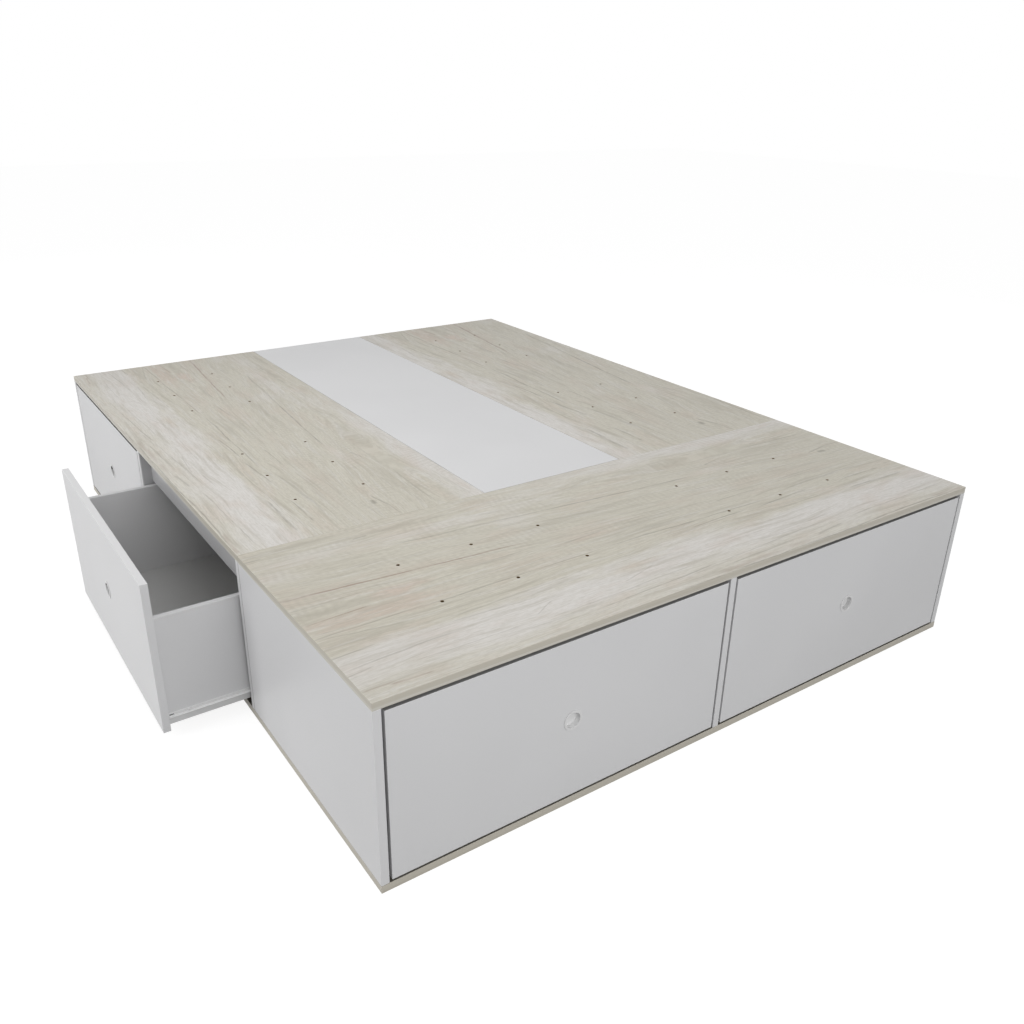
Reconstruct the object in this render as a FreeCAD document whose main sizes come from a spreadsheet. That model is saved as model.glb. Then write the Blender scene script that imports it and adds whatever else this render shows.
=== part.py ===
import FreeCAD, Part
import os
import re

import Sketcher

# Storage bed base: a mattress platform on three drawer modules, one across the foot and one
# along each side, with a loose panel between the side modules and six drawers on rollers.
# The origin lies on the floor at the middle of the foot edge. X runs across the bed to the
# right, Y from the foot to the head and Z up. All lengths are in millimetres.

SIZES = {
    # Modules and their boards
    "bed_width": 1495,
    "side_length": 1400,
    "module_depth": 555,
    "module_height": 368,
    "board": 15,
    "arris": 0.8,
    # Vent holes in the top boards, in two groups of three by two
    "vent_diameter": 7,
    "vent_pitch": 160,
    "vent_group_spacing": 704,
    "vent_inset_side": 195,
    "vent_inset_foot": 198,
    # Centre panel and the cleats under its long edges
    "panel_gap": 1,
    "panel_board": 15,
    "cleat_width": 20,
    "cleat_height": 40,
    "cleat_inset": 40,
    # Front rails under the top boards
    "rail_board": 15,
    "rail_height": 80,
    "rail_gap": 9,
    # Drawer fronts
    "front_board": 15,
    "front_gap": 5,
    "front_gap_top": 6,
    "front_gap_bottom": 4,
    # Drawer boxes
    "box_board": 12,
    "box_rise": 13,
    "box_top_gap": 4,
    "box_back_gap": 25,
    "panel_sheet": 3,
    "sheet_lift": 10,
    "sheet_groove": 6,
    "drawer_travel": 380,
    "rest_opening": 176,
    # Round recessed pulls
    "pull_flange_diameter": 40,
    "pull_flange": 1.2,
    "pull_lip": 0.5,
    "pull_mouth_diameter": 30,
    "pull_wall": 1.5,
    "pull_taper": 1,
    "pull_depth": 11.5,
    "pull_fit": 0.1,
    "pull_bore_depth": 12,
    # Roller runners: a channel on the bay wall and a profile under the drawer side
    "steel": 1.2,
    "runner_gap": 12.5,
    "running_clearance": 0.3,
    "channel_height": 32,
    "channel_depth": 9.5,
    "channel_gap": 3,
    "stop_height": 12,
    "lug_height": 8,
    "lug_length": 3,
    "flange_gap": 4.5,
    "flange_rise": 17,
    "leg_height": 23,
    "slot_inset": 2,
    "slot_length": 9,
    "slot_width": 2,
    "slot_lift": 1.5,
    "roller_diameter": 18,
    "roller_width": 5,
    "roller_inset": 11,
    "pin_diameter": 5,
    "pin_fit": 0.15,
    "shoulder_diameter": 8,
    # Runner screws, cleat screws and the bolts between modules
    "screw_diameter": 3,
    "screw_length": 11,
    "screw_head_diameter": 5.6,
    "screw_head": 1.8,
    "screw_inset": 40,
    "screw_fit": 0.1,
    "cleat_screw_diameter": 4,
    "cleat_screw_length": 30,
    "cleat_screw_head_diameter": 8,
    "cleat_screw_head": 2.5,
    "cleat_screw_inset": 60,
    "bolt_diameter": 5.8,
    "bolt_length": 24,
    "bolt_head_diameter": 17,
    "bolt_head": 2,
    "bolt_fit": 0.2,
    "sleeve_diameter": 6.8,
    "sleeve_bore": 6.2,
    "sleeve_length": 20,
    "bolt_inset": 120,
    "bolt_rise": 75,
}

# Each module is laid out in its own frame: u along its front, v inwards from its front face
# and w up from the floor. x and y say where a point of that frame lies on the bed.
FOOT_MODULE = {
    "name": "foot_module",
    "length": "bed_width",
    "turn": 0,
    "x": "{u} - bed_width / 2",
    "y": "{v}",
    "ends": ("left_end_panel", "right_end_panel"),
    "drawers": ("foot_left_drawer", "foot_right_drawer"),
    "vent_inset": "vent_inset_foot",
}
LEFT_MODULE = {
    "name": "left_module",
    "length": "side_length",
    "turn": -90,
    "x": "{v} - bed_width / 2",
    "y": "module_depth + side_length - {u}",
    "ends": ("head_end_panel", "foot_end_panel"),
    "drawers": ("head_left_drawer", "middle_left_drawer"),
    "vent_inset": "vent_inset_side",
}
RIGHT_MODULE = {
    "name": "right_module",
    "length": "side_length",
    "turn": 90,
    "x": "bed_width / 2 - {v}",
    "y": "module_depth + {u}",
    "ends": ("foot_end_panel", "head_end_panel"),
    "drawers": ("middle_right_drawer", "head_right_drawer"),
    "vent_inset": "vent_inset_side",
}
MODULES = (FOOT_MODULE, LEFT_MODULE, RIGHT_MODULE)
OPEN_DRAWER = "middle_left_drawer"
CLEAT_SCREWS = 4

# Ways a board stands: its length, width and thickness run along u, v, w when it is flat,
# along u, w, -v when it stands across, and along v, w, u when it stands end on.
FLAT = FreeCAD.Rotation()
ACROSS = FreeCAD.Rotation(FreeCAD.Vector(1, 0, 0), 90)
END_ON = FreeCAD.Rotation(FreeCAD.Vector(1, 1, 1), 120)

# Turns for round pieces, which are made along Z, and for a piece seen the other way round
ALONG_X = FreeCAD.Rotation(FreeCAD.Vector(0, 1, 0), 90)
ALONG_Y = FreeCAD.Rotation(FreeCAD.Vector(1, 0, 0), -90)
ABOUT_FACE = FreeCAD.Rotation(FreeCAD.Vector(0, 0, 1), 180)

# Heights, widths and depths that several pieces share
TOP_UNDERSIDE = "(module_height - board)"
RAIL_BOTTOM = "(module_height - board - rail_height)"
FRONT_BOTTOM = "(board + front_gap_bottom)"
FRONT_HEIGHT = "(module_height - 2 * board - front_gap_top - front_gap_bottom)"
BOX_BOTTOM = "(board + front_gap_bottom + box_rise)"
BOX_HEIGHT = f"({RAIL_BOTTOM} - box_top_gap - {BOX_BOTTOM})"
BOX_DEPTH = "(module_depth - board - front_board - box_back_gap)"
CENTRE_EDGE = "(bed_width / 2 - module_depth)"
BED_LENGTH = "(module_depth + side_length)"

# Shared places of the runner: the roller's near face and the pin, from the bay wall and from
# the drawer side's lower edge, and where the channel starts and ends
ROLLER_FACE = "(runner_gap - steel - running_clearance - roller_width)"
PIN_RISE = "(flange_rise - steel - running_clearance - roller_diameter / 2)"
CHANNEL_PIN_RISE = "(steel + running_clearance + roller_diameter / 2)"
CHANNEL_RUN = (
    f"({BOX_DEPTH} - roller_inset + roller_diameter / 2 + running_clearance - channel_gap)"
)
LUG_END = (
    f"({BOX_DEPTH} - roller_inset - roller_diameter / 2"
    " - drawer_travel - running_clearance - channel_gap)"
)

doc = FreeCAD.newDocument("StorageBedBase")
sheet = doc.addObject("Spreadsheet::Sheet", "sizes")
nodes = {}


def fill_sheet():
    """Write each size and its name into the sheet."""
    for row, (name, value) in enumerate(SIZES.items(), start=1):
        sheet.set(f"A{row}", name)
        sheet.set(f"B{row}", str(value))
        sheet.setAlias(f"B{row}", name)
    doc.recompute()


def formula(words):
    """Turn a formula in plain size names into one that reads the sheet."""
    return re.sub(r"[a-z][a-z_]+", r"sizes.\g<0>", words)


def bind(piece, **formulas):
    """Bind properties of a piece to formulas."""
    for name, words in formulas.items():
        piece.setExpression(name, formula(words))


def locate(piece, x, y, z, turn=FLAT):
    """Turn a piece and bind its place to formulas."""
    piece.Placement = FreeCAD.Placement(FreeCAD.Vector(), turn)
    for axis, words in (("x", x), ("y", y), ("z", z)):
        piece.setExpression(f"Placement.Base.{axis}", formula(words))


def locate_in(module, piece, u, v, w, turn=FLAT):
    """Place a piece by the u, v and w of a module's own frame."""
    around = FreeCAD.Rotation(FreeCAD.Vector(0, 0, 1), module["turn"])
    x = module["x"].format(u=f"({u})", v=f"({v})")
    y = module["y"].format(u=f"({u})", v=f"({v})")
    locate(piece, x, y, w, around.multiply(turn))


def block(name, x, y, z):
    """A box from its start and end along each axis."""
    piece = doc.addObject("Part::Box", name)
    sides = {"Length": x, "Width": y, "Height": z}
    bind(piece, **{side: f"{end} - ({start})" for side, (start, end) in sides.items()})
    locate(piece, x[0], y[0], z[0])
    return piece


def rod(name, diameter, start, end, y, z, turn=ALONG_X):
    """A round bar from start to end along X, or along Y when it is turned that way."""
    piece = doc.addObject("Part::Cylinder", name)
    bind(piece, Radius=f"({diameter}) / 2", Height=f"{end} - ({start})")
    if turn is ALONG_X:
        locate(piece, start, y, z, turn)
    else:
        locate(piece, y, start, z, turn)
    return piece


def fuse(name, pieces):
    """One solid out of several that touch."""
    piece = doc.addObject("Part::MultiFuse", name)
    piece.Shapes = pieces
    return piece


def group(name, pieces):
    """Several pieces kept as separate solids."""
    piece = doc.addObject("Part::Compound", name)
    piece.Links = pieces
    return piece


def cut(name, base, tool):
    """A piece less the room that another takes."""
    piece = doc.addObject("Part::Cut", name)
    piece.Base = base
    piece.Tool = tool
    return piece


def copy_of(piece, name):
    """A placeable copy that follows its original."""
    link = doc.addObject("App::Link", name)
    link.LinkedObject = piece
    link.LinkTransform = True
    return link


def mirrored(piece, name):
    """The other hand of a piece, mirrored across X."""
    other = doc.addObject("Part::Mirroring", name)
    other.Source = piece
    other.Normal = FreeCAD.Vector(1, 0, 0)
    return other


def node(name, piece):
    """Name a finished piece as one part of the bed base."""
    piece.Label = name
    nodes[name] = piece
    return piece


def new_sketch(body, name, role="XY_Plane"):
    """A sketch on one of the body's origin planes."""
    sketch = body.newObject("Sketcher::SketchObject", name)
    plane = next(item for item in body.Origin.OriginFeatures if item.Role == role)
    sketch.AttachmentSupport = [(plane, "")]
    sketch.MapMode = "FlatFace"
    return sketch


def draw_outline(sketch, points):
    """Draw a closed outline, at stand-in corners that are then bound to formulas."""
    ends = range(len(points))
    for index in ends:
        start = FreeCAD.Vector(index, index % 2, 0)
        end = FreeCAD.Vector(index + 1, (index + 1) % 2, 0)
        sketch.addGeometry(Part.LineSegment(start, end))
    for index in ends:
        following = (index + 1) % len(points)
        sketch.addConstraint(Sketcher.Constraint("Coincident", index, 2, following, 1))
    for index, corner in enumerate(points):
        for axis, words in zip(("DistanceX", "DistanceY"), corner):
            held = Sketcher.Constraint(axis, -1, 1, index, 1, 0)
            place = sketch.addConstraint(held)
            sketch.setExpression(f"Constraints[{place}]", formula(words))


def draw_circle(sketch, x, y, diameter):
    """Draw a circle, at a stand-in place and size that are then bound to formulas."""
    centre = FreeCAD.Vector(1, 1, 0)
    circle = sketch.addGeometry(Part.Circle(centre, FreeCAD.Vector(0, 0, 1), 1))
    for axis, words in (("DistanceX", x), ("DistanceY", y)):
        place = sketch.addConstraint(Sketcher.Constraint(axis, -1, 1, circle, 3, 0))
        sketch.setExpression(f"Constraints[{place}]", formula(words))
    place = sketch.addConstraint(Sketcher.Constraint("Diameter", circle, 1))
    sketch.setExpression(f"Constraints[{place}]", formula(diameter))


def round_edges(body, solid, name, radius, chosen):
    """Round the chosen edges of the body's last solid."""
    solid.recompute(True)
    edges = [f"Edge{n}" for n, edge in enumerate(solid.Shape.Edges, start=1) if chosen(edge)]
    fillet = body.newObject("PartDesign::Fillet", name)
    fillet.Base = (solid, edges)
    bind(fillet, Radius=radius)
    return fillet


def make_board(name, length, width, thickness, sharp_underside=False):
    """A board with softened edges, flat on its own frame's XY plane."""
    body = doc.addObject("PartDesign::Body", name)
    sketch = new_sketch(body, f"{name}_outline")
    corners = [("0", "0"), (length, "0"), (length, width), ("0", width)]
    draw_outline(sketch, corners)
    pad = body.newObject("PartDesign::Pad", f"{name}_thickness")
    pad.Profile = sketch
    bind(pad, Length=thickness)

    def to_soften(edge):
        return edge.BoundBox.ZMin > 0 or not sharp_underside

    round_edges(body, pad, f"{name}_arris", "arris", to_soften)
    return body


def board_in(module, name, start, size, way, **options):
    """A board in a module, from its least u, v and w, standing one of the three ways."""
    body = make_board(name, *size, **options)
    u, v, w = start
    if way is ACROSS:
        v = f"{v} + {size[2]}"
    locate_in(module, body, u, v, w, way)
    return body


def bay_width(module):
    """Clear width of one drawer bay."""
    return f"(({module['length']} - 3 * board) / 2)"


def bay_start(module, index):
    """Where a bay starts along the module's front."""
    return f"(board + {index} * ({bay_width(module)} + board))"


def add_vents(body, module):
    """Drill the two groups of vent holes through a top board."""
    sketch = new_sketch(body, f"{body.Name}_vent_sketch")
    for side in (-1, 1):
        for step in (-1, 0, 1):
            for row in (0, 1):
                along = f"{module['length']} / 2 + {side} * vent_group_spacing / 2"
                draw_circle(
                    sketch,
                    f"{along} + {step} * vent_pitch",
                    f"{module['vent_inset']} + {row} * vent_pitch",
                    "vent_diameter",
                )
    pocket = body.newObject("PartDesign::Pocket", f"{body.Name}_vents")
    pocket.Profile = sketch
    pocket.Type = "ThroughAll"
    pocket.Reversed = True


def make_runner_screw():
    """A pan-head screw along X with its head's seat at zero and its shank towards -X."""
    head = rod("screw_head_disc", "screw_head_diameter", "0", "screw_head", "0", "0")
    shank = rod("screw_shank", "screw_diameter", "0 - screw_length", "0", "0", "0")
    return fuse("runner_screw", [head, shank])


def make_screw_room():
    """The room that a runner screw's shank needs, as long as the screw."""
    room = "screw_diameter + 2 * screw_fit"
    return rod("runner_screw_room", room, "0 - screw_length - screw_fit", "0", "0", "0")


def make_roller(name, y, z):
    """A roller with its bore, in the channel's or the drawer's runner frame."""
    tread = rod(
        f"{name}_tread", "roller_diameter", ROLLER_FACE, f"{ROLLER_FACE} + roller_width", y, z
    )
    bore = rod(
        f"{name}_bore",
        "pin_diameter + 2 * pin_fit",
        ROLLER_FACE,
        f"{ROLLER_FACE} + roller_width",
        y,
        z,
    )
    return cut(name, tread, bore)


def channel_screw_places():
    """Places of a channel's screws along its run."""
    return ("screw_inset", f"{CHANNEL_RUN} / 2", f"{CHANNEL_RUN} - screw_inset")


def drawer_screw_places():
    """Places of a drawer runner's screws along the drawer side."""
    return ("screw_inset", f"{BOX_DEPTH} - 2 * screw_inset")


def make_channel():
    """The steel channel of a bay wall: X from the wall, Y inwards, Z from its lower edge."""
    run = f"{CHANNEL_RUN} + steel"
    top = "channel_height"
    web = block("channel_web", ("0", "steel"), ("0", run), ("0", top))
    floor = block("channel_floor", ("0", "channel_depth"), ("0", run), ("0", "steel"))
    roof = block("channel_roof", ("0", "channel_depth"), ("0", run), (f"{top} - steel", top))
    stop = block(
        "channel_stop", ("0", "channel_depth"), (CHANNEL_RUN, run), ("0", "stop_height")
    )
    lug = block(
        "channel_lug",
        ("0", "channel_depth"),
        (f"{LUG_END} - lug_length", LUG_END),
        ("0", "lug_height"),
    )
    pin = rod(
        "channel_pin",
        "pin_diameter",
        "0",
        f"{ROLLER_FACE} + roller_width",
        "roller_inset",
        CHANNEL_PIN_RISE,
    )
    shoulder = rod(
        "channel_shoulder",
        "shoulder_diameter",
        "0",
        ROLLER_FACE,
        "roller_inset",
        CHANNEL_PIN_RISE,
    )
    return fuse("channel_shape", [web, floor, roof, stop, lug, pin, shoulder])


def make_drawer_profile():
    """The steel profile under a drawer side: X from the bay wall, Z from the side's edge."""
    outer = "runner_gap - steel"
    pin_place = f"{BOX_DEPTH} - roller_inset"
    leg = block("profile_leg", (outer, "runner_gap"), ("0", BOX_DEPTH), ("0 - steel", "leg_height"))
    wrap = block(
        "profile_wrap", (outer, "runner_gap + box_board"), ("0", BOX_DEPTH), ("0 - steel", "0")
    )
    flange = block(
        "profile_flange",
        ("flange_gap", "runner_gap"),
        ("0", BOX_DEPTH),
        ("flange_rise - steel", "flange_rise"),
    )
    pin = rod("profile_pin", "pin_diameter", ROLLER_FACE, "runner_gap", pin_place, PIN_RISE)
    shoulder = rod(
        "profile_shoulder",
        "shoulder_diameter",
        f"{ROLLER_FACE} + roller_width",
        "runner_gap",
        pin_place,
        PIN_RISE,
    )
    slot_floor = "(flange_rise + slot_lift)"
    slot = block(
        "profile_slot",
        (outer, "runner_gap"),
        ("slot_inset", "slot_inset + slot_length"),
        (slot_floor, f"{slot_floor} + slot_width"),
    )
    return cut("profile_shape", fuse("profile_blank", [leg, wrap, flange, pin, shoulder]), slot)


def set_out(pattern, name, places, x, z, turn=FLAT):
    """Copies of a screw, or of its room, at places along Y."""
    copies = []
    for count, y in enumerate(places, start=1):
        copy = copy_of(pattern, f"{name}_{count}")
        locate(copy, x, y, z, turn)
        copies.append(copy)
    return group(name, copies)


def make_runner_patterns():
    """Both hands of everything that the channels and the drawer profiles repeat."""
    screw = make_runner_screw()
    room = make_screw_room()
    middle = "channel_height / 2"
    leg_middle = "(flange_rise + leg_height) / 2"
    wall_rooms = set_out(room, "wall_rooms", channel_screw_places(), "steel", middle)
    side_places = drawer_screw_places()
    seat = "runner_gap - steel"
    side_rooms = set_out(room, "side_rooms", side_places, seat, leg_middle, ABOUT_FACE)
    channel = cut("channel", make_channel(), wall_rooms)
    channel_roller = make_roller("channel_roller", "roller_inset", CHANNEL_PIN_RISE)
    profile = cut("profile", make_drawer_profile(), side_rooms)
    pin_place = f"{BOX_DEPTH} - roller_inset"
    profile_roller = make_roller("profile_roller", pin_place, PIN_RISE)
    side_screws = set_out(screw, "side_screws", side_places, seat, leg_middle, ABOUT_FACE)
    left = {
        "channel": group("left_channel", [channel, channel_roller]),
        "wall_screws": set_out(screw, "wall_screws", channel_screw_places(), "steel", middle),
        "wall_rooms": wall_rooms,
        "profile": group("left_profile", [profile, profile_roller, side_screws]),
        "side_rooms": side_rooms,
    }
    right = {name: mirrored(piece, f"other_{name}") for name, piece in left.items()}
    return left, right


def copies_on_walls(hands, what, name):
    """Copies of a channel pattern, one on each wall of each bay."""
    copies = []
    rise = f"{BOX_BOTTOM} + {PIN_RISE} - {CHANNEL_PIN_RISE}"
    for module in MODULES:
        for index, drawer in enumerate(module["drawers"]):
            start = bay_start(module, index)
            walls = (start, f"{start} + {bay_width(module)}")
            for hand, wall, side in zip(hands, walls, ("left", "right")):
                copy = copy_of(hand[what], f"{name}_{drawer}_{side}")
                locate_in(module, copy, wall, "front_board + channel_gap", rise)
                copies.append(copy)
    return copies


def copies_on_drawer(hands, what, module, index, slide):
    """Copies of a profile pattern, one on each side of a drawer."""
    drawer = module["drawers"][index]
    start = bay_start(module, index)
    walls = (start, f"{start} + {bay_width(module)}")
    copies = []
    for hand, wall, side in zip(hands, walls, ("left", "right")):
        copy = copy_of(hand[what], f"{drawer}_{what}_{side}")
        locate_in(module, copy, wall, f"front_board - {slide}", BOX_BOTTOM)
        copies.append(copy)
    return copies


def cleat_screw_places():
    """Evenly spaced places of the screws along a cleat."""
    first = "(module_depth + cleat_inset + cleat_screw_inset)"
    last = f"({BED_LENGTH} - cleat_inset - cleat_screw_inset)"
    spacing = f"({last} - {first}) / {CLEAT_SCREWS - 1}"
    return [f"{first} + {step} * {spacing}" for step in range(CLEAT_SCREWS)]


def make_cleat_screws():
    """Both rows of cleat screws and the rooms for their shanks."""
    head_end = "cleat_screw_head"
    head = rod("cleat_head_disc", "cleat_screw_head_diameter", "0", head_end, "0", "0")
    shank = rod("cleat_shank", "cleat_screw_diameter", "0 - cleat_screw_length", "0", "0", "0")
    screw = fuse("cleat_screw", [head, shank])
    room_size = "cleat_screw_diameter + 2 * screw_fit"
    room_start = "0 - cleat_screw_length - screw_fit"
    room = rod("cleat_screw_room", room_size, room_start, "0", "0", "0")
    seat = f"0 - {CENTRE_EDGE} + cleat_width"
    height = "module_height - panel_board - cleat_height / 2"
    places = cleat_screw_places()
    screws = set_out(screw, "left_cleat_screws", places, seat, height)
    rooms = set_out(room, "left_cleat_rooms", places, seat, height)
    other_screws = mirrored(screws, "right_cleat_screws")
    other_rooms = mirrored(rooms, "right_cleat_rooms")
    return [screws, other_screws], [rooms, other_rooms]


def make_connectors():
    """Bolts and sleeve nuts from the side modules into the foot module, and their rooms."""
    head = rod("bolt_head_disc", "bolt_head_diameter", "0", "bolt_head", "0", "0", ALONG_Y)
    shank = rod("bolt_shank", "bolt_diameter", "0 - bolt_length", "0", "0", "0", ALONG_Y)
    bolt = fuse("bolt", [head, shank])
    far = "0 - 2 * board"
    sleeve_end = f"{far} + sleeve_length"
    disc = rod("nut_head_disc", "bolt_head_diameter", f"{far} - bolt_head", far, "0", "0", ALONG_Y)
    sleeve = rod("nut_sleeve", "sleeve_diameter", far, sleeve_end, "0", "0", ALONG_Y)
    bore = rod("nut_bore", "sleeve_bore", far, sleeve_end, "0", "0", ALONG_Y)
    nut = cut("nut", fuse("nut_blank", [disc, sleeve]), bore)
    pair = group("bolt_and_nut", [bolt, nut])
    room_size = "sleeve_diameter + 2 * bolt_fit"
    room = rod("bolt_room", room_size, far, "0", "0", "0", ALONG_Y)
    pairs = []
    rooms = []
    for side in (-1, 1):
        for inset in ("bolt_inset", "(module_depth - bolt_inset)"):
            for height in ("board + bolt_rise", f"{TOP_UNDERSIDE} - bolt_rise"):
                x = f"{side} * (bed_width / 2 - {inset})"
                for pattern, found in ((pair, pairs), (room, rooms)):
                    copy = copy_of(pattern, f"{pattern.Name}_{len(found) + 1}")
                    locate(copy, x, "module_depth + board", height)
                    found.append(copy)
    return pairs, rooms


def make_carcass(module, drilling):
    """The boards of one module."""
    prefix = module["name"]
    length = module["length"]
    inner_height = "(module_height - 2 * board)"
    top = board_in(
        module,
        f"{prefix}_top",
        ("0", "0", TOP_UNDERSIDE),
        (length, "module_depth", "board"),
        FLAT,
    )
    add_vents(top, module)
    node(f"{prefix}_top_board", top)
    bottom = board_in(
        module,
        f"{prefix}_bottom",
        ("0", "0", "0"),
        (length, "module_depth", "board"),
        FLAT,
        sharp_underside=True,
    )
    node(f"{prefix}_bottom_board", bottom)
    upright = ("module_depth", inner_height, "board")
    for name, u in zip(module["ends"], ("0", f"{length} - board")):
        blank = board_in(module, f"{prefix}_{name}_blank", (u, "0", "board"), upright, END_ON)
        node(f"{prefix}_{name}", cut(f"{prefix}_{name}", blank, drilling))
    blank = board_in(
        module,
        f"{prefix}_divider_blank",
        (f"({length} - board) / 2", "0", "board"),
        ("module_depth - board", inner_height, "board"),
        END_ON,
    )
    node(f"{prefix}_divider", cut(f"{prefix}_divider", blank, drilling))
    blank = board_in(
        module,
        f"{prefix}_back_blank",
        ("board", "module_depth - board", "board"),
        (f"{length} - 2 * board", inner_height, "board"),
        ACROSS,
    )
    node(f"{prefix}_back_board", cut(f"{prefix}_back_board", blank, drilling))


def make_front_rails():
    """The rail behind and above each drawer front."""
    rails = []
    for module in MODULES:
        for index, drawer in enumerate(module["drawers"]):
            rail = board_in(
                module,
                f"{drawer}_rail",
                (bay_start(module, index), "front_board + rail_gap", RAIL_BOTTOM),
                (bay_width(module), "rail_height", "rail_board"),
                ACROSS,
            )
            rails.append(rail)
    node("front_rails", group("front_rails", rails))


def make_centre(drilling):
    """The loose panel between the side modules and the cleats that carry it."""
    panel = make_board(
        "centre_panel_board",
        f"2 * ({CENTRE_EDGE} - panel_gap)",
        "side_length - panel_gap",
        "panel_board",
    )
    underside = "(module_height - panel_board)"
    locate(panel, f"panel_gap - {CENTRE_EDGE}", "module_depth + panel_gap", underside)
    node("centre_panel", panel)
    cleat = block(
        "left_cleat_blank",
        (f"0 - {CENTRE_EDGE}", f"0 - {CENTRE_EDGE} + cleat_width"),
        ("module_depth + cleat_inset", f"{BED_LENGTH} - cleat_inset"),
        (f"{underside} - cleat_height", underside),
    )
    both = group("cleat_blanks", [cleat, mirrored(cleat, "right_cleat_blank")])
    node("centre_cleats", cut("centre_cleats", both, drilling))


def make_front(module, index, slide, sheet_panel):
    """A drawer front with the bore for its pull and the groove for the drawer bottom."""
    drawer = module["drawers"][index]
    width = f"({bay_width(module)} - 2 * front_gap)"
    body = board_in(
        module,
        f"{drawer}_front_blank",
        (f"{bay_start(module, index)} + front_gap", f"0 - {slide}", FRONT_BOTTOM),
        (width, FRONT_HEIGHT, "front_board"),
        ACROSS,
    )
    sketch = new_sketch(body, f"{drawer}_bore_sketch")
    bind(sketch, **{"AttachmentOffset.Base.z": "front_board"})
    bore = "pull_mouth_diameter + 2 * pull_wall + 2 * pull_fit"
    draw_circle(sketch, f"{width} / 2", f"{FRONT_HEIGHT} / 2", bore)
    pocket = body.newObject("PartDesign::Pocket", f"{drawer}_bore")
    pocket.Profile = sketch
    bind(pocket, Length="pull_bore_depth")
    node(f"{drawer}_front", cut(f"{drawer}_front", body, sheet_panel))


def make_pull(module, index, slide):
    """A round flanged cup, turned about its axis and let into the drawer front."""
    drawer = module["drawers"][index]
    mouth = "(pull_mouth_diameter / 2)"
    cup = f"({mouth} + pull_wall)"
    flange = "(pull_flange_diameter / 2)"
    inner = f"({mouth} - pull_taper)"
    floor = "(pull_wall - pull_depth)"
    outline = [
        ("0", "0 - pull_depth"),
        (cup, "0 - pull_depth"),
        (cup, "0"),
        (flange, "0"),
        (flange, "pull_flange"),
        (mouth, "pull_flange"),
        (inner, floor),
        ("0", floor),
    ]
    body = doc.addObject("PartDesign::Body", f"{drawer}_pull_body")
    sketch = new_sketch(body, f"{drawer}_pull_outline", "XZ_Plane")
    draw_outline(sketch, outline)
    turned = body.newObject("PartDesign::Revolution", f"{drawer}_pull_turned")
    turned.Profile = sketch
    turned.ReferenceAxis = (sketch, ["V_Axis"])
    turned.Angle = 360

    def on_lip(edge):
        level = edge.BoundBox.ZMin
        return level > 0 and edge.BoundBox.ZMax - level < edge.BoundBox.XLength / 2

    round_edges(body, turned, f"{drawer}_pull_lip", "pull_lip", on_lip)
    u = f"{bay_start(module, index)} + {bay_width(module)} / 2"
    height = f"{FRONT_BOTTOM} + {FRONT_HEIGHT} / 2"
    locate_in(module, body, u, f"0 - {slide}", height, ACROSS)
    node(f"{drawer}_pull", body)


def make_drawer(module, index, hands):
    """One drawer: front, sides, back, bottom, pull and runners."""
    drawer = module["drawers"][index]
    slide = "rest_opening" if drawer == OPEN_DRAWER else "0"
    start = f"({bay_start(module, index)} + runner_gap)"
    width = f"({bay_width(module)} - 2 * runner_gap)"
    inner_width = f"({width} - 2 * box_board)"
    sheet_panel = board_in(
        module,
        f"{drawer}_sheet",
        (
            f"{start} + box_board - sheet_groove",
            f"front_board - sheet_groove - {slide}",
            f"{BOX_BOTTOM} + sheet_lift",
        ),
        (
            f"{inner_width} + 2 * sheet_groove",
            f"{BOX_DEPTH} - box_board + 2 * sheet_groove",
            "panel_sheet",
        ),
        FLAT,
    )
    node(f"{drawer}_bottom", sheet_panel)
    make_front(module, index, slide, sheet_panel)
    rooms = copies_on_drawer(hands, "side_rooms", module, index, slide)
    room_and_sheet = group(f"{drawer}_cutters", [sheet_panel, *rooms])
    sides = [
        board_in(
            module,
            f"{drawer}_{hand}_side",
            (u, f"front_board - {slide}", BOX_BOTTOM),
            (BOX_DEPTH, BOX_HEIGHT, "box_board"),
            END_ON,
        )
        for hand, u in (("left", start), ("right", f"{start} + {width} - box_board"))
    ]
    both = group(f"{drawer}_side_pair", sides)
    node(f"{drawer}_sides", cut(f"{drawer}_sides", both, room_and_sheet))
    back = board_in(
        module,
        f"{drawer}_back_blank",
        (
            f"{start} + box_board",
            f"front_board + {BOX_DEPTH} - box_board - {slide}",
            BOX_BOTTOM,
        ),
        (inner_width, BOX_HEIGHT, "box_board"),
        ACROSS,
    )
    node(f"{drawer}_back", cut(f"{drawer}_back", back, sheet_panel))
    make_pull(module, index, slide)
    profiles = copies_on_drawer(hands, "profile", module, index, slide)
    node(f"{drawer}_runners", group(f"{drawer}_runners", profiles))


def make_bed_base():
    """Every part of the bed base."""
    hands = make_runner_patterns()
    cleat_screws, cleat_rooms = make_cleat_screws()
    connectors, connector_rooms = make_connectors()
    wall_rooms = copies_on_walls(hands, "wall_rooms", "room")
    drilling = group("drilling", [*wall_rooms, *cleat_rooms, *connector_rooms])
    for module in MODULES:
        make_carcass(module, drilling)
    make_front_rails()
    make_centre(drilling)
    channels = copies_on_walls(hands, "channel", "channel")
    node("cabinet_runners", group("cabinet_runners", channels))
    wall_screws = copies_on_walls(hands, "wall_screws", "screws")
    node("wood_screws", group("wood_screws", [*wall_screws, *cleat_screws]))
    node("connector_bolts", group("connector_bolts", connectors))
    for module in MODULES:
        for index in range(len(module["drawers"])):
            make_drawer(module, index, hands)


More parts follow.
